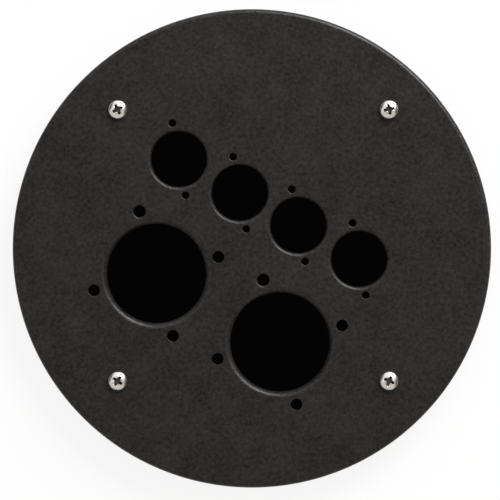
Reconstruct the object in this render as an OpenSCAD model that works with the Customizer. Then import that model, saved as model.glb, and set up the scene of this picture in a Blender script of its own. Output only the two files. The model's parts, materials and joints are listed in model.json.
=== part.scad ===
// Round connector mounting plate, with the four screws that fix it to a housing.
// Sizes are millimetres. The plate lies flat, its front faces +Z, and the origin is
// the middle of the four screws, on the back face, which seats on the housing.

/* [Plate] */
// Diameter of the plate
plate_d = 200; // [190:1:230]
// Thickness of the plate
plate_t = 5; // [4:0.5:8]
// Rounding of the outer edge, at the front
rim_edge = 1.9; // [0.5:0.1:2.5]
// Chamfer of the outer edge, at the back
rim_chamfer = 0.4; // [0.1:0.1:1]
// Place of the plate's middle, from the middle of the fixing screws
plate_shift = [-0.6, -1.3]; // [-2:0.1:2]

/* [Row of four cut-outs] */
// Diameter of each cut-out for a D-type chassis connector
d_bore = 23.2; // [21:0.2:24.4]
// Rounding of its edge, at the front
d_edge = 1.6; // [0.3:0.1:1.8]
// Distance across the pair of screw holes, along the connector's width
d_screw_x = 19; // [18:0.5:21]
// Distance across the pair of screw holes, along the connector's height
d_screw_y = 24; // [23:0.5:26]
// Diameter of the screw holes
d_screw_bore = 3.1; // [2.5:0.1:3.6]
// Rounding of the upper and of the lower screw hole, at the front
d_screw_edges = [0.4, 0.3]; // [0.1:0.1:0.7]
// Pitch of the outer two cut-outs at each end of the row
d_pitch = 29; // [28.5:0.5:30]
// Pitch of the middle two
d_middle_pitch = 28; // [28:0.5:31]
// Distance of the row from the plate's middle
d_row_height = 17.8; // [17:0.2:22]
// Place of the row's middle along the row
d_row_shift = -1.7; // [-4:0.1:4]
// Clockwise turn of each connector
d_turn = 28; // [24:1:34]

/* [Row of two cut-outs] */
// Diameter of each cut-out for a flush socket
socket_bore = 41.4; // [38:0.2:43]
// Rounding of its edge, at the front
socket_edge = 2.5; // [0.5:0.1:2.8]
// Side of the square of screw holes
socket_screw_side = 38; // [37:0.5:39]
// Diameter of the screw holes
socket_screw_bore = 4.9; // [4:0.1:5.2]
// Rounding of the four holes, at the front: right, top, left, bottom
socket_screw_edges = [0.2, 0.8, 0.2, 0.2]; // [0.1:0.1:0.8]
// Pitch of the two cut-outs
socket_pitch = 59; // [58:0.5:64]
// Distance of the row from the plate's middle
socket_row_height = -28.6; // [-32:0.2:-28]
// Place of the row's middle along the row
socket_row_shift = -0.3; // [-4:0.1:4]
// Clockwise turn of each square of screw holes
socket_turn = 30; // [26:1:34]

/* [Layout] */
// Clockwise turn of both rows
row_turn = 29; // [20:1:38]

/* [Fixing screws] */
// Diameter of the circle that the screws stand on
fixing_circle = 160; // [156:1:164]
// Diameter of the clearance holes in the plate
fixing_bore = 4.5; // [4.3:0.1:5]
// Thread's outer diameter
screw_d = 4; // [3.5:0.1:4]
// Length under the head
screw_length = 16; // [12:1:25]
// Diameter of the pan head
head_d = 8; // [7.4:0.1:9]
// Height of the pan head
head_h = 3.1; // [2.6:0.1:3.4]
// Width across the cross recess
recess_w = 4.4; // [4:0.1:4.8]
// Depth of the cross recess
recess_depth = 2.2; // [1.6:0.1:2.4]
// Turn of each recess: top left, top right, bottom left, bottom right
recess_turns = [27, 11, 56, 65]; // [0:1:89]

/* [Hidden] */
$fn = 96;
past = 1;                                     // how far a cutter runs past a face
edge_steps = 8;                               // straight steps in a rounded edge
plate_colour = [0.17, 0.165, 0.16];
screw_colour = [0.78, 0.77, 0.74];
d_screw_place = [-d_screw_x / 2, d_screw_y / 2];
d_end_shift = (d_middle_pitch + d_pitch) / 2; // middle of the row to the middle of its end pair
crown_r = 6.5;                                // rounding of the screw's crown
crown_z = head_h - crown_r;                   // height of the crown's centre over the seat
cheek_r = 1.3;                                // rounding between the crown and the head's side
cheek_x = head_d / 2 - cheek_r;
cheek_z = crown_z + sqrt(pow(crown_r - cheek_r, 2) - pow(cheek_x, 2));
cheek_end = atan2(cheek_z - crown_z, cheek_x);
tip_chamfer = 0.6;
neck_d = screw_d - 0.5;                       // plain neck, near the thread's pitch diameter
wing_w = 1.15;                                // width of the cross recess's arms
wing_taper = 26.5;                            // slope of the arms' ends from the axis
core_w = 2.4;                                 // width of the recess where its arms meet
recess_z = crown_z + sqrt(pow(crown_r, 2) - pow(recess_w / 2, 2)); // where the arms end on the crown

// Points on a circle of radius r about [x, y], from angle a to angle b.
function arc(x, y, r, a, b, steps) =
    [for (i = [0 : steps]) let (t = a + (b - a) * i / steps) [x + r * cos(t), y + r * sin(t)]];

// Round disc: rounded at the front, chamfered at the back.
module plate_blank() {
    r = plate_d / 2;
    rotate_extrude($fn = 240)
        polygon(concat(
            [[0, 0], [r - rim_chamfer, 0], [r, rim_chamfer]],
            arc(r - rim_edge, plate_t - rim_edge, rim_edge, 0, 90, edge_steps),
            [[0, plate_t]]));
}

// Cutter for a hole of diameter d right through the plate, with its front edge rounded.
module rounded_hole(d, edge) {
    r = d / 2;
    rotate_extrude()
        polygon(concat(
            [[0, -past], [r, -past]],
            arc(r + edge, plate_t - edge, edge, 180, 90, edge_steps),
            [[r + edge, plate_t + past], [0, plate_t + past]]));
}

// A D-type connector's cut-out and its two screw holes, on opposite corners.
module d_type_cutout() {
    rounded_hole(d_bore, d_edge);
    for (i = [0, 1])
        rotate([0, 0, 180 * i]) translate(d_screw_place) rounded_hole(d_screw_bore, d_screw_edges[i]);
}

// A flush socket's cut-out, centred in its square of screw holes.
module socket_cutout() {
    rounded_hole(socket_bore, socket_edge);
    for (i = [0 : 3])
        rotate([0, 0, 90 * i]) translate([socket_screw_side / 2, socket_screw_side / 2])
            rounded_hole(socket_screw_bore, socket_screw_edges[i]);
}

module mounting_plate() {
    color(plate_colour) difference() {
        translate(plate_shift) plate_blank();
        translate(plate_shift) rotate([0, 0, -row_turn]) {
            for (end = [-1, 1], side = [-1, 1])
                translate([d_row_shift + end * d_end_shift + side * d_pitch / 2, d_row_height])
                    rotate([0, 0, row_turn - d_turn]) d_type_cutout();
            for (side = [-1, 1])
                translate([socket_row_shift + side * socket_pitch / 2, socket_row_height])
                    rotate([0, 0, row_turn - socket_turn]) socket_cutout();
        }
        for (corner = [45 : 90 : 315])
            rotate([0, 0, corner]) translate([fixing_circle / 2, 0, -past])
                cylinder(d = fixing_bore, h = plate_t + 2 * past);
    }
}

// Pan head and shank, turned about the screw's axis, with the seat of the head at height 0.
// A plain neck passes through the plate, and the thread starts at the plate's back face.
module screw_blank() {
    r = screw_d / 2;
    neck_r = neck_d / 2;
    rotate_extrude()
        polygon(concat(
            [[0, -screw_length], [r - tip_chamfer, -screw_length], [r, tip_chamfer - screw_length],
             [r, -plate_t], [neck_r, r - neck_r - plate_t], [neck_r, 0], [head_d / 2, 0]],
            arc(cheek_x, cheek_z, cheek_r, 0, cheek_end, edge_steps),
            arc(0, crown_z, crown_r, cheek_end, 90, edge_steps)));
}

// Cross recess: four tapered arms round a deeper middle, with its mouth at height 0.
module cross_recess() {
    top_r = recess_w / 2 + past * tan(wing_taper);
    bottom_r = recess_w / 2 - recess_depth * tan(wing_taper);
    intersection() {
        translate([0, 0, -recess_depth]) cylinder(r1 = bottom_r, r2 = top_r, h = recess_depth + past);
        for (turn = [0, 90])
            rotate([0, 0, turn]) cube([3 * recess_w, wing_w, 3 * recess_depth], center = true);
    }
    translate([0, 0, -recess_depth]) cylinder(d1 = core_w / 2, d2 = core_w, h = recess_depth);
    cylinder(d = core_w, h = past);
}

// A fixing screw seated at one corner of the plate, with its recess turned as it was driven.
module fixing_screw(corner, recess_turn) {
    color(screw_colour)
        translate([fixing_circle / 2 * cos(corner), fixing_circle / 2 * sin(corner), plate_t])
            difference() {
                screw_blank();
                translate([0, 0, recess_z]) rotate([0, 0, recess_turn]) cross_recess();
            }
}

mounting_plate();
fixing_screw(135, recess_turns[0]);  // screw_top_left
fixing_screw(45, recess_turns[1]);  // screw_top_right
fixing_screw(225, recess_turns[2]);  // screw_bottom_left
fixing_screw(315, recess_turns[3]);  // screw_bottom_right
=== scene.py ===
"""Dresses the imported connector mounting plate: a grained black plate, its plated screws, and a pale stage.

Everything is in metres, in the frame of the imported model: the plate lies flat, its front faces +Z, and the
origin is the middle of the four fixing screws, on the plate's back face.
"""

import json
import math

import bmesh
import bpy
from bpy.props import FloatProperty, FloatVectorProperty, IntProperty, PointerProperty
from mathutils import Matrix, Vector, geometry


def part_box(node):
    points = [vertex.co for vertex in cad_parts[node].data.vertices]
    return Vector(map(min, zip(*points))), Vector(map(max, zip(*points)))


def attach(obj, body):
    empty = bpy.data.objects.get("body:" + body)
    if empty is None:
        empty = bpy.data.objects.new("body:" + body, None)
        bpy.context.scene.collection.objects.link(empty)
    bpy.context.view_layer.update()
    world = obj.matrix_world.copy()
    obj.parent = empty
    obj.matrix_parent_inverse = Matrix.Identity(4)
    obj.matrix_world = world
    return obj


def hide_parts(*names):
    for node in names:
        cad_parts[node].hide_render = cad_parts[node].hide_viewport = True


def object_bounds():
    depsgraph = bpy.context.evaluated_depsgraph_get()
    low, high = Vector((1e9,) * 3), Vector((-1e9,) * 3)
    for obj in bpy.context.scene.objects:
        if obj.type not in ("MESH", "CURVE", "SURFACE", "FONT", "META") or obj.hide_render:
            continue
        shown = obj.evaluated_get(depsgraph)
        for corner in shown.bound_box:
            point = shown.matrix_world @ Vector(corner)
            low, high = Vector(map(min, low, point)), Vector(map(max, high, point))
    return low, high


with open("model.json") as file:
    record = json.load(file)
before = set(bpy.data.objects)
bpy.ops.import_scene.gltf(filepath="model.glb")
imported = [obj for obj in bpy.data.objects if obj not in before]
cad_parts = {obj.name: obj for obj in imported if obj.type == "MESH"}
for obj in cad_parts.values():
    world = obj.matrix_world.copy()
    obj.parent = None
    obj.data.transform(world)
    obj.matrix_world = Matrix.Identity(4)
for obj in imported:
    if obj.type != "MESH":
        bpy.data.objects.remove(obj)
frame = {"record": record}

bl_info = {
    "name": "Connector mounting plate",
    "version": (1, 0, 0),
    "blender": (4, 5, 0),
    "location": "3D View > Sidebar > Connector plate",
    "description": "Builds a round connector mounting plate, its fixing screws and a pale stage",
    "category": "Object",
}

MM = 0.001
BODY = "root"
PLATE_NODE = "mounting_plate"
SCREW_NODES = ("screw_top_left", "screw_top_right", "screw_bottom_left", "screw_bottom_right")

CAD_LOW, CAD_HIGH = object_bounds()
PLATE_LOW, PLATE_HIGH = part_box(PLATE_NODE)
PLATE_MIDDLE = (PLATE_LOW + PLATE_HIGH) / 2
PLATE_RADIUS = min(PLATE_HIGH.x - PLATE_LOW.x, PLATE_HIGH.y - PLATE_LOW.y) / 2
MOUNTS = {mount["name"]: mount for mount in frame["record"]["mounts"]}


class PlateSettings(bpy.types.PropertyGroup):
    """Edges and finish of the plate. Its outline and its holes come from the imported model."""

    rim_rounding: FloatProperty(
        name="Rim rounding", description="Radius of the outer edge at the front",
        default=1.9 * MM, min=0, unit="LENGTH", precision=4)
    rim_chamfer: FloatProperty(
        name="Rim chamfer", description="Chamfer of the outer edge at the back",
        default=0.4 * MM, min=0, unit="LENGTH", precision=4)
    connector_rounding: FloatProperty(
        name="Connector rounding", description="Edge radius of the four small cut-outs",
        default=1.6 * MM, min=0, unit="LENGTH", precision=4)
    connector_spacing: FloatVectorProperty(
        name="Connector screw spacing", description="Distance across and up between a connector's holes",
        size=2, default=(19 * MM, 24 * MM), unit="LENGTH", precision=4)
    connector_screw_roundings: FloatVectorProperty(
        name="Connector screw hole roundings", description="Edge radii of the upper and lower screw holes",
        size=2, default=(0.4 * MM, 0.3 * MM), unit="LENGTH", precision=4)
    connector_turn: FloatProperty(
        name="Connector turn", description="Clockwise turn of each connector's screw holes",
        default=math.radians(28), subtype="ANGLE")
    socket_rounding: FloatProperty(
        name="Socket rounding", description="Edge radius of the two large cut-outs",
        default=2.5 * MM, min=0, unit="LENGTH", precision=4)
    socket_screw_roundings: FloatVectorProperty(
        name="Socket screw hole roundings", description="Edge radii of the right, top, left and bottom holes",
        size=4, default=(0.2 * MM, 0.8 * MM, 0.2 * MM, 0.2 * MM), unit="LENGTH", precision=4)
    socket_turn: FloatProperty(
        name="Socket turn", description="Clockwise turn of each square of screw holes",
        default=math.radians(30), subtype="ANGLE")
    fixing_bore: FloatProperty(
        name="Fixing hole", description="Diameter of the clearance holes under the fixing screws",
        default=4.5 * MM, min=0, unit="LENGTH", precision=4)
    rounding_steps: IntProperty(
        name="Rounding steps", description="Bands of faces in each rounded edge", default=12, min=2)
    dark_tone: FloatVectorProperty(
        name="Dark tone", description="Colour in the dull patches of the plate",
        size=3, subtype="COLOR", default=(0.0082, 0.0079, 0.0076), min=0, max=1)
    light_tone: FloatVectorProperty(
        name="Light tone", description="Colour in the paler patches of the plate",
        size=3, subtype="COLOR", default=(0.0258, 0.0236, 0.0223), min=0, max=1)
    patch_size: FloatProperty(
        name="Patch size", description="Size of the cloudy patches",
        default=12 * MM, min=1 * MM, unit="LENGTH", precision=4)
    speckle_size: FloatProperty(
        name="Speckle size", description="Size of the fine speckles",
        default=1.6 * MM, min=0.1 * MM, unit="LENGTH", precision=4)
    speckle_share: FloatProperty(
        name="Speckle share", description="How far the speckles, and not the patches, set the tone",
        default=0.68, min=0, max=1, subtype="FACTOR")
    gloss: FloatVectorProperty(
        name="Gloss", description="Reflection of dark and of pale spots, where 0.5 is common plastic",
        size=2, default=(0.20, 0.45), min=0, max=1)
    roughness: FloatProperty(
        name="Roughness", description="Roughness of the plate's reflection",
        default=0.36, min=0, max=1, subtype="FACTOR")
    grain_size: FloatProperty(
        name="Grain size", description="Size of the moulded grain",
        default=0.9 * MM, min=0.1 * MM, unit="LENGTH", precision=4)
    grain_depth: FloatProperty(
        name="Grain depth", description="Depth of the moulded grain",
        default=0.05 * MM, min=0, unit="LENGTH", precision=5)


class ScrewSettings(bpy.types.PropertyGroup):
    """Form and finish of the pan-head fixing screws."""

    pitch: FloatProperty(
        name="Thread pitch", description="Distance between neighbouring crests of the thread",
        default=0.7 * MM, min=0.2 * MM, unit="LENGTH", precision=4)
    thread_diameter: FloatProperty(
        name="Thread diameter", description="Outer diameter of the thread",
        default=4.0 * MM, min=1 * MM, unit="LENGTH", precision=4)
    root_diameter: FloatProperty(
        name="Root diameter", description="Diameter in the thread's groove",
        default=3.14 * MM, min=1 * MM, unit="LENGTH", precision=4)
    neck_diameter: FloatProperty(
        name="Neck diameter", description="Diameter of the plain neck that passes through the plate",
        default=3.5 * MM, min=1 * MM, unit="LENGTH", precision=4)
    tip_diameter: FloatProperty(
        name="Tip diameter", description="Diameter of the flat end of the chamfered tip",
        default=2.8 * MM, min=0.5 * MM, unit="LENGTH", precision=4)
    head_diameter: FloatProperty(
        name="Head diameter", description="Diameter of the pan head",
        default=8.0 * MM, min=2 * MM, unit="LENGTH", precision=4)
    head_height: FloatProperty(
        name="Head height", description="Height of the crown over the head's seat",
        default=3.1 * MM, min=1 * MM, unit="LENGTH", precision=4)
    seat_chamfer: FloatProperty(
        name="Seat chamfer", description="Chamfer of the head's lower edge",
        default=0.12 * MM, min=0, unit="LENGTH", precision=4)
    crown_radius: FloatProperty(
        name="Crown radius", description="Radius of the domed top",
        default=6.5 * MM, min=1 * MM, unit="LENGTH", precision=4)
    cheek_radius: FloatProperty(
        name="Cheek radius", description="Radius between the domed top and the head's side",
        default=1.3 * MM, min=0, unit="LENGTH", precision=4)
    recess_width: FloatProperty(
        name="Recess width", description="Width across the cross recess",
        default=4.4 * MM, min=1 * MM, unit="LENGTH", precision=4)
    recess_depth: FloatProperty(
        name="Recess depth", description="Depth of the cross recess",
        default=2.2 * MM, min=0.2 * MM, unit="LENGTH", precision=4)
    wing_width: FloatProperty(
        name="Wing width", description="Width of each arm of the recess",
        default=1.15 * MM, min=0.1 * MM, unit="LENGTH", precision=4)
    wing_taper: FloatProperty(
        name="Wing taper", description="Slope of the arms' ends from the screw's axis",
        default=math.radians(26.5), subtype="ANGLE")
    core_width: FloatProperty(
        name="Core width", description="Width of the recess where its arms meet",
        default=2.4 * MM, min=0.2 * MM, unit="LENGTH", precision=4)
    lip: FloatProperty(
        name="Recess lip", description="Rounding where the recess meets the crown",
        default=0.12 * MM, min=0, unit="LENGTH", precision=4)
    recess_turns: FloatVectorProperty(
        name="Recess turns", description="Turns at the top left, top right, bottom left and bottom right",
        size=4, default=[math.radians(turn) for turn in (27, 11, 56, 65)], unit="ROTATION")
    plating: FloatVectorProperty(
        name="Plating colour", description="Colour of the bright plating",
        size=3, subtype="COLOR", default=(0.92, 0.91, 0.89), min=0, max=1)
    plating_roughness: FloatVectorProperty(
        name="Plating roughness", description="Least and greatest roughness of the plating",
        size=2, default=(0.14, 0.26), min=0, max=1)
    # Painted shade: the recess's metal is coloured dark for the shade that falls inside the recess.
    recess_painted_shade_colour: FloatVectorProperty(
        name="Recess colour", description="Painted shade on the metal inside the recess",
        size=3, subtype="COLOR", default=(0.16, 0.16, 0.17), min=0, max=1)
    recess_roughness: FloatVectorProperty(
        name="Recess roughness", description="Least and greatest roughness inside the recess",
        size=2, default=(0.42, 0.55), min=0, max=1)


class StageSettings(bpy.types.PropertyGroup):
    """Camera, lamp, room and floor."""

    camera_height: FloatProperty(
        name="Camera height", description="Height of the camera over the plate's front face",
        default=1.25, min=0.1, unit="LENGTH")
    outline_pixels: FloatProperty(
        name="Outline radius in pixels", description="Radius of the plate in a picture 500 pixels wide",
        default=239.61, min=1, subtype="PIXEL")
    centre_pixels: FloatVectorProperty(
        name="Plate centre in pixels", description="Place of the plate's middle, from the picture's top left",
        size=2, default=(251.42, 247.88))
    lamp_azimuth: FloatProperty(
        name="Lamp azimuth", description="Direction of the lamp, counterclockwise from +X",
        default=math.radians(59), subtype="ANGLE")
    lamp_elevation: FloatProperty(
        name="Lamp elevation", description="Height of the lamp above the horizon",
        default=math.radians(37), subtype="ANGLE")
    lamp_distance: FloatProperty(
        name="Lamp distance", description="Distance of the lamp from the plate's middle",
        default=2.0, min=0.1, unit="LENGTH")
    lamp_size: FloatProperty(
        name="Lamp size", description="Side of the square lamp", default=1.2, min=0.01, unit="LENGTH")
    lamp_power: FloatProperty(
        name="Lamp power", description="Power of the lamp in watts", default=41.0, min=0, unit="POWER")
    room_horizon: FloatVectorProperty(
        name="Room at the horizon", description="Colour of the room low down, behind the floor",
        size=3, subtype="COLOR", default=(1.0, 1.0, 1.0), min=0, max=1)
    room_dim_side: FloatVectorProperty(
        name="Dim side of the room", description="Colour of the room on the side of the plate's lower edge",
        size=3, subtype="COLOR", default=(0.61, 0.57, 0.52), min=0, max=1)
    room_bright_side: FloatVectorProperty(
        name="Bright side of the room", description="Colour of the room on the side of its upper edge",
        size=3, subtype="COLOR", default=(0.88, 0.88, 0.90), min=0, max=1)
    room_overhead: FloatVectorProperty(
        name="Room overhead", description="Colour of the room straight above, round the camera",
        size=3, subtype="COLOR", default=(0.20, 0.20, 0.20), min=0, max=1)
    room_azimuth: FloatProperty(
        name="Bright side's azimuth", description="Middle of the bright side, counterclockwise from +X",
        default=math.radians(98), subtype="ANGLE")
    room_shade: FloatVectorProperty(
        name="Shade in the room", description="Colour of its two openings and of the foot of its dim side",
        size=3, subtype="COLOR", default=(0.06, 0.06, 0.07), min=0, max=1)
    opening_azimuths: FloatVectorProperty(
        name="Openings' azimuths", description="Middles of the openings, counterclockwise from +X",
        size=2, default=(math.radians(157), math.radians(353)), unit="ROTATION")
    floor_colour: FloatVectorProperty(
        name="Floor colour", description="Colour of the floor where it shows light and shadow",
        size=3, subtype="COLOR", default=(0.95, 0.95, 0.95), min=0, max=1)
    floor_size: FloatProperty(
        name="Floor size", description="Side of the square floor", default=8.0, min=1, unit="LENGTH")
    floor_backlight: FloatProperty(
        name="Floor backlight", description="Share of the floor near the plate that shows as plain white",
        default=0.88, min=0, max=1, subtype="FACTOR")
    shadow_reach: FloatVectorProperty(
        name="Shadow reach", description="Radii between which the floor turns wholly to plain white",
        size=2, default=(0.14, 0.40), min=0, unit="LENGTH")
    # Painted shade: a dark patch painted on the floor under the plate, deeper than its shadow, so that the
    # plate's holes show black.
    painted_shade_radius: FloatProperty(
        name="Painted shade radius", description="Radius of the floor's dark middle, which lies under the plate",
        default=74 * MM, min=0, unit="LENGTH", precision=4)
    painted_shade_edge: FloatProperty(
        name="Painted shade edge", description="Radius at which the dark middle has faded out",
        default=84 * MM, min=0, unit="LENGTH", precision=4)
    painted_shade_colour: FloatVectorProperty(
        name="Painted shade colour", description="Colour of the floor's dark middle",
        size=3, subtype="COLOR", default=(0.0012, 0.0012, 0.0012), min=0, max=1)


class ConnectorPlateSettings(bpy.types.PropertyGroup):
    """All settings of the connector plate."""

    plate: PointerProperty(type=PlateSettings)
    screws: PointerProperty(type=ScrewSettings)
    stage: PointerProperty(type=StageSettings)


def on_circle(radius, angle):
    """The point at an angle on a circle about the origin."""
    return Vector((radius * math.cos(angle), radius * math.sin(angle)))


def add_loop(mesh, centre, angles, radii, heights):
    """A closed row of vertices about a vertical axis."""
    return [
        mesh.verts.new((centre[0] + radius * math.cos(angle), centre[1] + radius * math.sin(angle), height))
        for angle, radius, height in zip(angles, radii, heights)
    ]


def add_ring(mesh, centre, angles, radius, height):
    """A round loop, all at one height."""
    return add_loop(mesh, centre, angles, [radius] * len(angles), [height] * len(angles))


def join_loops(mesh, loops, material=0):
    """Bands of faces from each loop to the next. All have the same number of vertices."""
    for first, second in zip(loops, loops[1:]):
        for i in range(len(first)):
            face = mesh.faces.new((first[i - 1], second[i - 1], second[i], first[i]))
            face.material_index = material


def close_with_fan(mesh, loop, apex, material=0):
    """Triangles from a loop to one point."""
    tip = mesh.verts.new(apex)
    for i in range(len(loop)):
        mesh.faces.new((loop[i - 1], tip, loop[i])).material_index = material


# What delaunay_2d_cdt is asked for: the triangles inside the outer boundary.
TRIANGLES_INSIDE = 1
MERGING_DISTANCE = 0.0001 * MM


def fill_between(mesh, loops):
    """Triangles between an outline, which is the first loop, and the round holes in it, all at one height.

    A triangle with all its corners on one hole's loop lies inside that hole, and is left out.
    """
    corners, owners, edges = [], [], []
    for number, loop in enumerate(loops):
        first = len(corners)
        edges += [(first + i, first + (i + 1) % len(loop)) for i in range(len(loop))]
        owners += [number] * len(loop)
        corners += loop
    flat = [vertex.co.to_2d() for vertex in corners]
    result = geometry.delaunay_2d_cdt(flat, edges, [], TRIANGLES_INSIDE, MERGING_DISTANCE)
    triangles, origins = result[2], result[3]
    for triangle in triangles:
        places = [origins[i][0] for i in triangle]
        touched = {owners[place] for place in places}
        if touched == {0} or len(touched) > 1:
            mesh.faces.new([corners[place] for place in places])


def make_piece(name, mesh, sharp_angle, materials):
    """A piece of the object from a bmesh, smooth except where its faces meet at more than sharp_angle."""
    bmesh.ops.recalc_face_normals(mesh, faces=mesh.faces)
    data = bpy.data.meshes.new(name)
    mesh.to_mesh(data)
    mesh.free()
    data.shade_smooth()
    data.set_sharp_from_angle(angle=sharp_angle)
    for material in materials:
        data.materials.append(material)
    piece = bpy.data.objects.new(name, data)
    bpy.context.scene.collection.objects.link(piece)
    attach(piece, BODY)
    return piece


FACE_OUTSIDE = 1
FACE_INSIDE = -1


def rounded_edge(wall_radius, rounding, steps, side):
    """(radius, height) pairs from the plate's front face down to a wall.

    side says where the face lies: outside the wall's circle, as round a hole, or inside it, as at the rim.
    """
    points = []
    for i in range(steps + 1):
        angle = math.pi / 2 * i / steps
        radius = wall_radius + side * rounding * (1 - math.sin(angle))
        points.append((radius, PLATE_HIGH.z - rounding * (1 - math.cos(angle))))
    return points


def hole_group(mount_name, first_angle, roundings):
    """(centre, radius, edge rounding) of a packed bolt pattern's holes, counterclockwise from first_angle."""
    mount = MOUNTS[mount_name]
    middle = Vector(mount["pos_m"][:2])
    holes = []
    for i, rounding in enumerate(roundings):
        offset = on_circle(mount["dims"]["pcd_mm"] / 2 * MM, first_angle + math.tau * i / len(roundings))
        holes.append((middle + offset, mount["dims"]["hole_r_mm"] * MM, rounding))
    return holes


def rounded_holes(settings):
    """(centre, radius, edge rounding) of every hole with a rounded edge."""
    across, up = settings.connector_spacing
    upper_hole = math.atan2(up, -across) - settings.connector_turn
    right_hole = math.pi / 4 - settings.socket_turn
    holes = []
    for name, mount in MOUNTS.items():
        middle = Vector(mount["pos_m"][:2])
        if name.startswith("d_cutout"):
            holes.append((middle, mount["dims"]["r_mm"] * MM, settings.connector_rounding))
        if name.startswith("socket_cutout"):
            holes.append((middle, mount["dims"]["r_mm"] * MM, settings.socket_rounding))
        if name.startswith("d_screws"):
            holes += hole_group(name, upper_hole, settings.connector_screw_roundings)
        if name.startswith("socket_screws"):
            holes += hole_group(name, right_hole, settings.socket_screw_roundings)
    return holes


def screw_axis(node):
    """Where a packed screw's axis stands."""
    low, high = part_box(node)
    corner = math.atan2(low.y + high.y, low.x + high.x)
    return on_circle(MOUNTS["fixing_screws"]["dims"]["pcd_mm"] / 2 * MM, corner)


SEGMENT_LENGTH = 0.7 * MM
LEAST_SEGMENTS = 48
RIM_SEGMENTS = 480
PLATE_SHARP_ANGLE = math.radians(35)


def build_plate_mesh(settings):
    """The plate as one closed mesh: two flat faces, with bands of faces down every edge."""
    mesh = bmesh.new()
    front_loops, back_loops = [], []

    def add_edge(centre, profile, segments):
        """Bands of faces down one edge, whose first and last loops the flat faces join."""
        angles = [math.tau * i / segments for i in range(segments)]
        loops = [add_ring(mesh, centre, angles, radius, z) for radius, z in profile]
        join_loops(mesh, loops)
        front_loops.append(loops[0])
        back_loops.append(loops[-1])

    outline = rounded_edge(PLATE_RADIUS, settings.rim_rounding, settings.rounding_steps, FACE_INSIDE)
    outline.append((PLATE_RADIUS, PLATE_LOW.z + settings.rim_chamfer))
    outline.append((PLATE_RADIUS - settings.rim_chamfer, PLATE_LOW.z))
    add_edge(PLATE_MIDDLE, outline, RIM_SEGMENTS)
    for centre, radius, rounding in rounded_holes(settings):
        wall = rounded_edge(radius, rounding, settings.rounding_steps, FACE_OUTSIDE)
        wall.append((radius, PLATE_LOW.z))
        add_edge(centre, wall, max(LEAST_SEGMENTS, round(math.tau * radius / SEGMENT_LENGTH)))
    for node in SCREW_NODES:
        radius = settings.fixing_bore / 2
        add_edge(screw_axis(node), [(radius, PLATE_HIGH.z), (radius, PLATE_LOW.z)], LEAST_SEGMENTS)
    fill_between(mesh, front_loops)
    fill_between(mesh, back_loops)
    return mesh


RECESS_WALL_STEPS = 6
DOME_STEPS = 8
LIP_STEPS = 4
RAYS_PER_CORNER = 8
RAYS_PER_WING_END = 12
RECESS_FLOOR_DIP = 0.1 * MM
RECESS_MATERIAL = 1
SCREW_CENTRE = (0, 0)
SCREW_SHARP_ANGLE = math.radians(40)
WELDING_DISTANCE = 0.001 * MM


def ray_angles(settings):
    """Angles round a screw's axis, with one on every corner of the cross recess."""
    half_wing = settings.wing_width / 2
    end_corner = math.asin(half_wing / (settings.recess_width / 2))
    core_corner = math.asin(half_wing / (settings.core_width / 2))
    stops = [
        (-math.pi / 4, RAYS_PER_CORNER),
        (-core_corner, RAYS_PER_CORNER),
        (-end_corner, RAYS_PER_WING_END),
        (end_corner, RAYS_PER_CORNER),
        (core_corner, RAYS_PER_CORNER),
        (math.pi / 4, 0),
    ]
    quarter = []
    for (start, rays), (end, _) in zip(stops, stops[1:]):
        quarter += [start + (end - start) * i / rays for i in range(rays)]
    return [math.pi / 2 * arm + angle for arm in range(4) for angle in quarter]


def cross_radius(angle, reach, half_wing, core):
    """Distance from the axis to the outline of a cross with round ends and a round core."""
    from_wing = (angle + math.pi / 4) % (math.pi / 2) - math.pi / 4
    side = half_wing / max(abs(math.sin(from_wing)), half_wing / reach)
    return max(core, side)


# Knots of the thread's outline along one pitch, starting in the middle of a groove.
THREAD_KNOTS = (0.0, 0.125, 0.4375, 0.5625, 0.875)
THREAD_RUN_OUT = 0.7 * MM
TURNS_BELOW_TIP = 2
TURNS_ABOVE_TOP = 1


def add_thread(mesh, angles, settings, bottom, top):
    """A threaded shank with a chamfered tip and a run-out. Returns its lowest and its highest loop.

    The helix starts below the tip and ends above the top, and all that lies past them is pressed flat there.
    """
    crest, root = settings.thread_diameter / 2, settings.root_diameter / 2
    neck, tip = settings.neck_diameter / 2, settings.tip_diameter / 2
    knot_radii = (root, root, crest, crest, root)
    turns = math.ceil((top - bottom) / settings.pitch) + TURNS_BELOW_TIP + TURNS_ABOVE_TOP
    rows = []
    for turn in range(turns):
        for knot, knot_radius in zip(THREAD_KNOTS, knot_radii):
            heights, radii = [], []
            for angle in angles:
                climb = bottom + settings.pitch * (turn - TURNS_BELOW_TIP + knot + angle / math.tau)
                z = min(max(climb, bottom), top)
                fade = min(1, (top - z) / THREAD_RUN_OUT)
                heights.append(z)
                radii.append(min(neck + (knot_radius - neck) * fade, tip + z - bottom))
            rows.append(add_loop(mesh, SCREW_CENTRE, angles, radii, heights))
    for lower, upper in zip(rows, rows[1:]):
        for i in range(1, len(angles)):
            mesh.faces.new((lower[i - 1], lower[i], upper[i], upper[i - 1]))
    per_turn = len(THREAD_KNOTS)
    for lower, upper, next_lower, next_upper in zip(rows, rows[1:], rows[per_turn:], rows[per_turn + 1:]):
        mesh.faces.new((lower[-1], next_lower[0], next_upper[0], upper[-1]))
    return rows[0], rows[-1]


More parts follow.
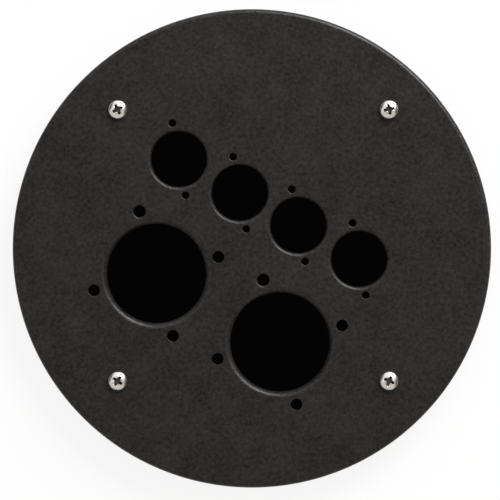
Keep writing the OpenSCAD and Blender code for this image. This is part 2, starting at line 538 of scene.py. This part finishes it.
def add_head(mesh, angles, settings, seat, neck_loop):
    """A pan head with its cross recess, from the neck's loop up and over to the recess's floor."""
    head, cheek, crown = settings.head_diameter / 2, settings.cheek_radius, settings.crown_radius
    crown_z = seat + settings.head_height - crown
    cheek_x = head - cheek
    cheek_z = crown_z + math.sqrt((crown - cheek) ** 2 - cheek_x ** 2)
    cheek_end = math.atan2(cheek_z - crown_z, cheek_x)
    reach, half_wing, core = settings.recess_width / 2, settings.wing_width / 2, settings.core_width / 2
    depth, lip = settings.recess_depth, settings.lip

    def dome(radius):
        """Height of the crown at a distance from the axis."""
        return crown_z + math.sqrt(crown ** 2 - radius ** 2)

    def cross(grown, sunk):
        """The recess's outline, wider by grown, at a depth of sunk below its mouth."""
        ends = reach - sunk * math.tan(settings.wing_taper)
        middle = core * (1 - sunk / depth / 2)
        return [cross_radius(angle, ends + grown, half_wing + grown, middle + grown) for angle in angles]

    profile = [(settings.neck_diameter / 2, seat), (head - settings.seat_chamfer, seat)]
    profile.append((head, seat + settings.seat_chamfer))
    for i in range(DOME_STEPS + 1):
        angle = cheek_end * i / DOME_STEPS
        profile.append((cheek_x + cheek * math.cos(angle), cheek_z + cheek * math.sin(angle)))
    loops = [neck_loop]
    for radius, z in profile:
        loops.append(add_ring(mesh, SCREW_CENTRE, angles, radius, z))

    shoulder = crown * math.cos(cheek_end)
    for i in range(1, DOME_STEPS + 1):
        radii = [shoulder + (radius - shoulder) * i / DOME_STEPS for radius in cross(lip, 0)]
        loops.append(add_loop(mesh, SCREW_CENTRE, angles, radii, [dome(radius) for radius in radii]))
    for i in range(1, LIP_STEPS + 1):
        angle = math.pi / 2 * i / LIP_STEPS
        radii = cross(lip * (1 - math.sin(angle)), 0)
        heights = [dome(radius) - lip * (1 - math.cos(angle)) for radius in radii]
        loops.append(add_loop(mesh, SCREW_CENTRE, angles, radii, heights))
    join_loops(mesh, loops)

    floor_z = dome(reach) - depth
    mouth = [dome(radius) - lip for radius in cross(0, 0)]
    recess = [loops[-1]]
    for i in range(1, RECESS_WALL_STEPS + 1):
        share = i / RECESS_WALL_STEPS
        heights = [z + (floor_z - z) * share for z in mouth]
        recess.append(add_loop(mesh, SCREW_CENTRE, angles, cross(0, depth * share), heights))
    join_loops(mesh, recess, RECESS_MATERIAL)
    close_with_fan(mesh, recess[-1], (*SCREW_CENTRE, floor_z - RECESS_FLOOR_DIP), RECESS_MATERIAL)


def build_screw_mesh(settings, node, turn):
    """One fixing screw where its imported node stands, its recess turned as it was driven."""
    mesh = bmesh.new()
    angles = ray_angles(settings)
    tip_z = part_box(node)[0].z
    tip_loop, neck_loop = add_thread(mesh, angles, settings, tip_z, PLATE_LOW.z)
    close_with_fan(mesh, tip_loop, (*SCREW_CENTRE, tip_z))
    add_head(mesh, angles, settings, PLATE_HIGH.z, neck_loop)
    bmesh.ops.remove_doubles(mesh, verts=mesh.verts, dist=WELDING_DISTANCE)
    place = Matrix.Translation(screw_axis(node).to_3d()) @ Matrix.Rotation(turn, 4, "Z")
    bmesh.ops.transform(mesh, matrix=place, verts=mesh.verts)
    return mesh


def new_material(name):
    """A material with its nodes, its links and its main shader."""
    material = bpy.data.materials.new(name)
    material.use_nodes = True
    tree = material.node_tree
    return material, tree.nodes, tree.links, tree.nodes["Principled BSDF"]


def add_noise(nodes, links, coordinates, size, detail, roughness):
    """Noise whose largest patches are about size metres across. Returns its value."""
    noise = nodes.new("ShaderNodeTexNoise")
    noise.inputs["Scale"].default_value = 1 / size
    noise.inputs["Detail"].default_value = detail
    noise.inputs["Roughness"].default_value = roughness
    links.new(coordinates, noise.inputs["Vector"])
    return noise.outputs["Fac"]


def add_range(nodes, links, value, old_ends, new_ends):
    """Maps a value from one range to another, without going past its ends."""
    node = nodes.new("ShaderNodeMapRange")
    node.inputs["From Min"].default_value, node.inputs["From Max"].default_value = old_ends
    node.inputs["To Min"].default_value, node.inputs["To Max"].default_value = new_ends
    links.new(value, node.inputs["Value"])
    return node.outputs["Result"]


def add_colours(nodes, links, share, first, second):
    """Mixes two colours by a share of the second. Each is a colour or another node's result."""
    node = nodes.new("ShaderNodeMix")
    node.data_type = "RGBA"
    links.new(share, next(socket for socket in node.inputs if socket.enabled))
    sockets = [socket for socket in node.inputs if socket.type == "RGBA"]
    for socket, colour in zip(sockets, (first, second)):
        if isinstance(colour, bpy.types.NodeSocket):
            links.new(colour, socket)
        else:
            socket.default_value = (*colour, 1)
    return next(socket for socket in node.outputs if socket.enabled)


def add_bump(nodes, links, shader, height, depth, strength):
    """Raises the shader's surface by up to depth metres where height is 1."""
    bump = nodes.new("ShaderNodeBump")
    bump.inputs["Strength"].default_value = strength
    bump.inputs["Distance"].default_value = depth
    links.new(height, bump.inputs["Height"])
    links.new(bump.outputs["Normal"], shader.inputs["Normal"])


# Kinds of noise: how many finer levels each has, and how strong each is next to the one before it.
CLOUDY = (3, 0.6)
SPECKLED = (2, 0.7)
GRAINY = (2, 0.6)
# The middle part of the noise, which is spread over a finish's whole range.
TONE_BAND = (0.32, 0.68)
METAL_BAND = (0.3, 0.7)
PLATING_PATCH = 1.2 * MM
PLATING_WAVE_DEPTH = 0.03 * MM
PLATING_WAVE_STRENGTH = 0.25
RECESS_PATCH = 0.6 * MM


def black_grained_plastic(settings):
    """Matt black plastic with a fine moulded grain, fine speckles and cloudy patches."""
    material, nodes, links, shader = new_material("black_grained_plastic")
    place = nodes.new("ShaderNodeTexCoord").outputs["Object"]
    patches = add_noise(nodes, links, place, settings.patch_size, *CLOUDY)
    speckles = add_noise(nodes, links, place, settings.speckle_size, *SPECKLED)
    grain = add_noise(nodes, links, place, settings.grain_size, *GRAINY)
    both = nodes.new("ShaderNodeMix")
    both.inputs["Factor"].default_value = settings.speckle_share
    links.new(patches, both.inputs["A"])
    links.new(speckles, both.inputs["B"])
    share = add_range(nodes, links, both.outputs["Result"], TONE_BAND, (0, 1))
    tone = add_colours(nodes, links, share, settings.dark_tone, settings.light_tone)
    links.new(tone, shader.inputs["Base Color"])
    links.new(add_range(nodes, links, share, (0, 1), settings.gloss), shader.inputs["Specular IOR Level"])
    shader.inputs["Roughness"].default_value = settings.roughness
    add_bump(nodes, links, shader, grain, settings.grain_depth, 1)
    return material


def bright_plating(settings):
    """Bright plated steel, faintly uneven."""
    material, nodes, links, shader = new_material("bright_plating")
    place = nodes.new("ShaderNodeTexCoord").outputs["Object"]
    unevenness = add_noise(nodes, links, place, PLATING_PATCH, *CLOUDY)
    shader.inputs["Base Color"].default_value = (*settings.plating, 1)
    shader.inputs["Metallic"].default_value = 1
    roughness = add_range(nodes, links, unevenness, METAL_BAND, settings.plating_roughness)
    links.new(roughness, shader.inputs["Roughness"])
    add_bump(nodes, links, shader, unevenness, PLATING_WAVE_DEPTH, PLATING_WAVE_STRENGTH)
    return material


def recess_metal_painted_shade(settings):
    """Metal inside the cross recess with painted shade: it is coloured much darker than the plating, for the
    shade that falls inside the recess.
    """
    material, nodes, links, shader = new_material("recess_metal_painted_shade")
    place = nodes.new("ShaderNodeTexCoord").outputs["Object"]
    unevenness = add_noise(nodes, links, place, RECESS_PATCH, *CLOUDY)
    # Painted shade: this dark colour inside the recess stands in for the recess's shade.
    shader.inputs["Base Color"].default_value = (*settings.recess_painted_shade_colour, 1)
    shader.inputs["Metallic"].default_value = 1
    roughness = add_range(nodes, links, unevenness, METAL_BAND, settings.recess_roughness)
    links.new(roughness, shader.inputs["Roughness"])
    return material


WHITE = (1, 1, 1)


def pale_floor(settings):
    """A white floor with a faint shadow, and painted shade in its middle: a dark patch under the plate that
    shows black through the plate's holes.
    """
    material, nodes, links, shader = new_material("pale_floor")
    nodes.remove(shader)
    middle_distance = nodes.new("ShaderNodeVectorMath")
    middle_distance.operation = "LENGTH"
    links.new(nodes.new("ShaderNodeTexCoord").outputs["Object"], middle_distance.inputs[0])
    # Painted shade: 0 inside the dark patch under the plate and 1 past its edge. Both the lit floor and its
    # plain white take the patch's dark colour.
    outside = add_range(nodes, links, middle_distance.outputs["Value"],
                        (settings.painted_shade_radius, settings.painted_shade_edge), (0, 1))

    lit = nodes.new("ShaderNodeBsdfDiffuse")
    lit_colour = add_colours(nodes, links, outside, settings.painted_shade_colour, settings.floor_colour)
    links.new(lit_colour, lit.inputs["Color"])
    white = nodes.new("ShaderNodeEmission")
    white_colour = add_colours(nodes, links, outside, settings.painted_shade_colour, WHITE)
    links.new(white_colour, white.inputs["Color"])

    path = nodes.new("ShaderNodeLightPath")
    seen = path.outputs["Is Camera Ray"]
    for ray in ("Is Glossy Ray", "Is Transmission Ray"):
        either = nodes.new("ShaderNodeMath")
        either.operation = "MAXIMUM"
        links.new(seen, either.inputs[0])
        links.new(path.outputs[ray], either.inputs[1])
        seen = either.outputs["Value"]
    backlight = add_range(nodes, links, middle_distance.outputs["Value"],
                          settings.shadow_reach, (settings.floor_backlight, 1))
    seen_backlight = nodes.new("ShaderNodeMath")
    seen_backlight.operation = "MULTIPLY"
    links.new(seen, seen_backlight.inputs[0])
    links.new(backlight, seen_backlight.inputs[1])
    surface = nodes.new("ShaderNodeMixShader")
    links.new(seen_backlight.outputs["Value"], surface.inputs["Fac"])
    links.new(lit.outputs["BSDF"], surface.inputs[1])
    links.new(white.outputs["Emission"], surface.inputs[2])
    links.new(surface.outputs["Shader"], nodes["Material Output"].inputs["Surface"])
    return material


def make_floor(settings):
    """A square floor under the screws' tips, centred under the plate."""
    mesh = bmesh.new()
    bmesh.ops.create_grid(mesh, x_segments=1, y_segments=1, size=settings.floor_size / 2)
    data = bpy.data.meshes.new("floor")
    mesh.to_mesh(data)
    mesh.free()
    data.materials.append(pale_floor(settings))
    floor = bpy.data.objects.new("floor", data)
    floor.location = (PLATE_MIDDLE.x, PLATE_MIDDLE.y, CAD_LOW.z)
    bpy.context.scene.collection.objects.link(floor)


# Cosines of the angles between which each part of the room blends into the next.
HORIZON_BAND = (0.01, 0.04)
SIDE_BLEND = (-0.12, 0.12)
OVERHEAD_BLEND = (0.82, 0.94)
OPENING_BLEND = (0.68, 0.84)
FOOT_BLEND = (0.0, 0.45)


def make_room(settings):
    """A room with a dim and a bright side, two openings, and a narrow white band round the horizon."""
    world = bpy.data.worlds.new("room")
    world.use_nodes = True
    nodes, links = world.node_tree.nodes, world.node_tree.links
    direction = nodes.new("ShaderNodeTexCoord").outputs["Generated"]

    def add_share(towards, blend):
        """How far a direction points towards another one, between the two cosines of blend."""
        product = nodes.new("ShaderNodeVectorMath")
        product.operation = "DOT_PRODUCT"
        product.inputs[1].default_value = towards
        links.new(direction, product.inputs[0])
        return add_range(nodes, links, product.outputs["Value"], blend, (0, 1))

    up = Vector((0, 0, 1))
    bright_side = add_share(on_circle(1, settings.room_azimuth).to_3d(), SIDE_BLEND)
    colour = add_colours(nodes, links, add_share(up, FOOT_BLEND), settings.room_shade, settings.room_dim_side)
    colour = add_colours(nodes, links, bright_side, colour, settings.room_bright_side)
    for azimuth in settings.opening_azimuths:
        opening = add_share(on_circle(1, azimuth).to_3d(), OPENING_BLEND)
        colour = add_colours(nodes, links, opening, colour, settings.room_shade)
    colour = add_colours(nodes, links, add_share(up, OVERHEAD_BLEND), colour, settings.room_overhead)
    colour = add_colours(nodes, links, add_share(up, HORIZON_BAND), settings.room_horizon, colour)
    links.new(colour, nodes["Background"].inputs["Color"])
    bpy.context.scene.world = world


def make_lamp(settings):
    """One soft square lamp, aimed at the plate's middle."""
    lamp = bpy.data.lights.new("soft_lamp", "AREA")
    lamp.shape = "SQUARE"
    lamp.size = settings.lamp_size
    lamp.energy = settings.lamp_power
    flat = on_circle(math.cos(settings.lamp_elevation), settings.lamp_azimuth)
    direction = Vector((flat.x, flat.y, math.sin(settings.lamp_elevation)))
    target = Vector((PLATE_MIDDLE.x, PLATE_MIDDLE.y, PLATE_HIGH.z))
    holder = bpy.data.objects.new("soft_lamp", lamp)
    holder.location = target + direction * settings.lamp_distance
    holder.rotation_euler = direction.to_track_quat("Z", "Y").to_euler()
    bpy.context.scene.collection.objects.link(holder)


PICTURE_PIXELS = 500
MIDDLE_PIXEL = (PICTURE_PIXELS - 1) / 2


def make_camera(settings):
    """A camera that looks straight down, with the plate at its place in the picture."""
    metres_per_pixel = PLATE_RADIUS / settings.outline_pixels
    camera = bpy.data.cameras.new("camera")
    camera.lens = camera.sensor_width * settings.camera_height / (metres_per_pixel * PICTURE_PIXELS)
    holder = bpy.data.objects.new("camera", camera)
    column, row = settings.centre_pixels
    holder.location = (
        PLATE_MIDDLE.x - (column - MIDDLE_PIXEL) * metres_per_pixel,
        PLATE_MIDDLE.y + (row - MIDDLE_PIXEL) * metres_per_pixel,
        PLATE_HIGH.z + settings.camera_height,
    )
    bpy.context.scene.collection.objects.link(holder)
    bpy.context.scene.camera = holder


class CONNECTOR_PLATE_OT_add_plate(bpy.types.Operator):
    """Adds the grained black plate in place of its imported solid"""

    bl_idname = "connector_plate.add_plate"
    bl_label = "Add plate"

    def execute(self, context):
        settings = context.scene.connector_plate.plate
        mesh = build_plate_mesh(settings)
        materials = [black_grained_plastic(settings)]
        plate = make_piece("grained_plate", mesh, PLATE_SHARP_ANGLE, materials)
        smoothing = plate.modifiers.new("even_shading", "WEIGHTED_NORMAL")
        smoothing.keep_sharp = True
        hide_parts(PLATE_NODE)
        return {"FINISHED"}


class CONNECTOR_PLATE_OT_add_screws(bpy.types.Operator):
    """Adds the four threaded pan-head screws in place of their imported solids"""

    bl_idname = "connector_plate.add_screws"
    bl_label = "Add screws"

    def execute(self, context):
        settings = context.scene.connector_plate.screws
        materials = [bright_plating(settings), recess_metal_painted_shade(settings)]
        for node, turn in zip(SCREW_NODES, settings.recess_turns):
            mesh = build_screw_mesh(settings, node, turn)
            screw = make_piece("threaded_" + node, mesh, SCREW_SHARP_ANGLE, materials)
            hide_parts(node)
        return {"FINISHED"}


class CONNECTOR_PLATE_OT_add_stage(bpy.types.Operator):
    """Adds the pale floor, the room, the lamp and the camera"""

    bl_idname = "connector_plate.add_stage"
    bl_label = "Add stage"

    def execute(self, context):
        settings = context.scene.connector_plate.stage
        make_floor(settings)
        make_room(settings)
        make_lamp(settings)
        make_camera(settings)
        context.scene.view_settings.view_transform = "Standard"
        return {"FINISHED"}


class CONNECTOR_PLATE_PT_sidebar(bpy.types.Panel):
    """Lists the steps that build the connector plate, and their settings"""

    bl_idname = "CONNECTOR_PLATE_PT_sidebar"
    bl_label = "Connector plate"
    bl_space_type = "VIEW_3D"
    bl_region_type = "UI"
    bl_category = "Connector plate"

    def draw(self, context):
        settings = context.scene.connector_plate
        for operator, group in zip(OPERATORS, (settings.plate, settings.screws, settings.stage)):
            box = self.layout.box()
            box.operator(operator.bl_idname)
            for name in group.__annotations__:
                box.prop(group, name)


SETTINGS = (PlateSettings, ScrewSettings, StageSettings, ConnectorPlateSettings)
OPERATORS = (CONNECTOR_PLATE_OT_add_plate, CONNECTOR_PLATE_OT_add_screws, CONNECTOR_PLATE_OT_add_stage)
CLASSES = (*SETTINGS, *OPERATORS, CONNECTOR_PLATE_PT_sidebar)


def register():
    """Makes the settings, the operators and the panel known to Blender."""
    for cls in CLASSES:
        bpy.utils.register_class(cls)
    bpy.types.Scene.connector_plate = PointerProperty(type=ConnectorPlateSettings)


def unregister():
    """Takes them away again."""
    del bpy.types.Scene.connector_plate
    for cls in reversed(CLASSES):
        bpy.utils.unregister_class(cls)


def main():
    register()
    bpy.ops.connector_plate.add_plate()
    bpy.ops.connector_plate.add_screws()
    bpy.ops.connector_plate.add_stage()


if __name__ == "__main__":
    main()
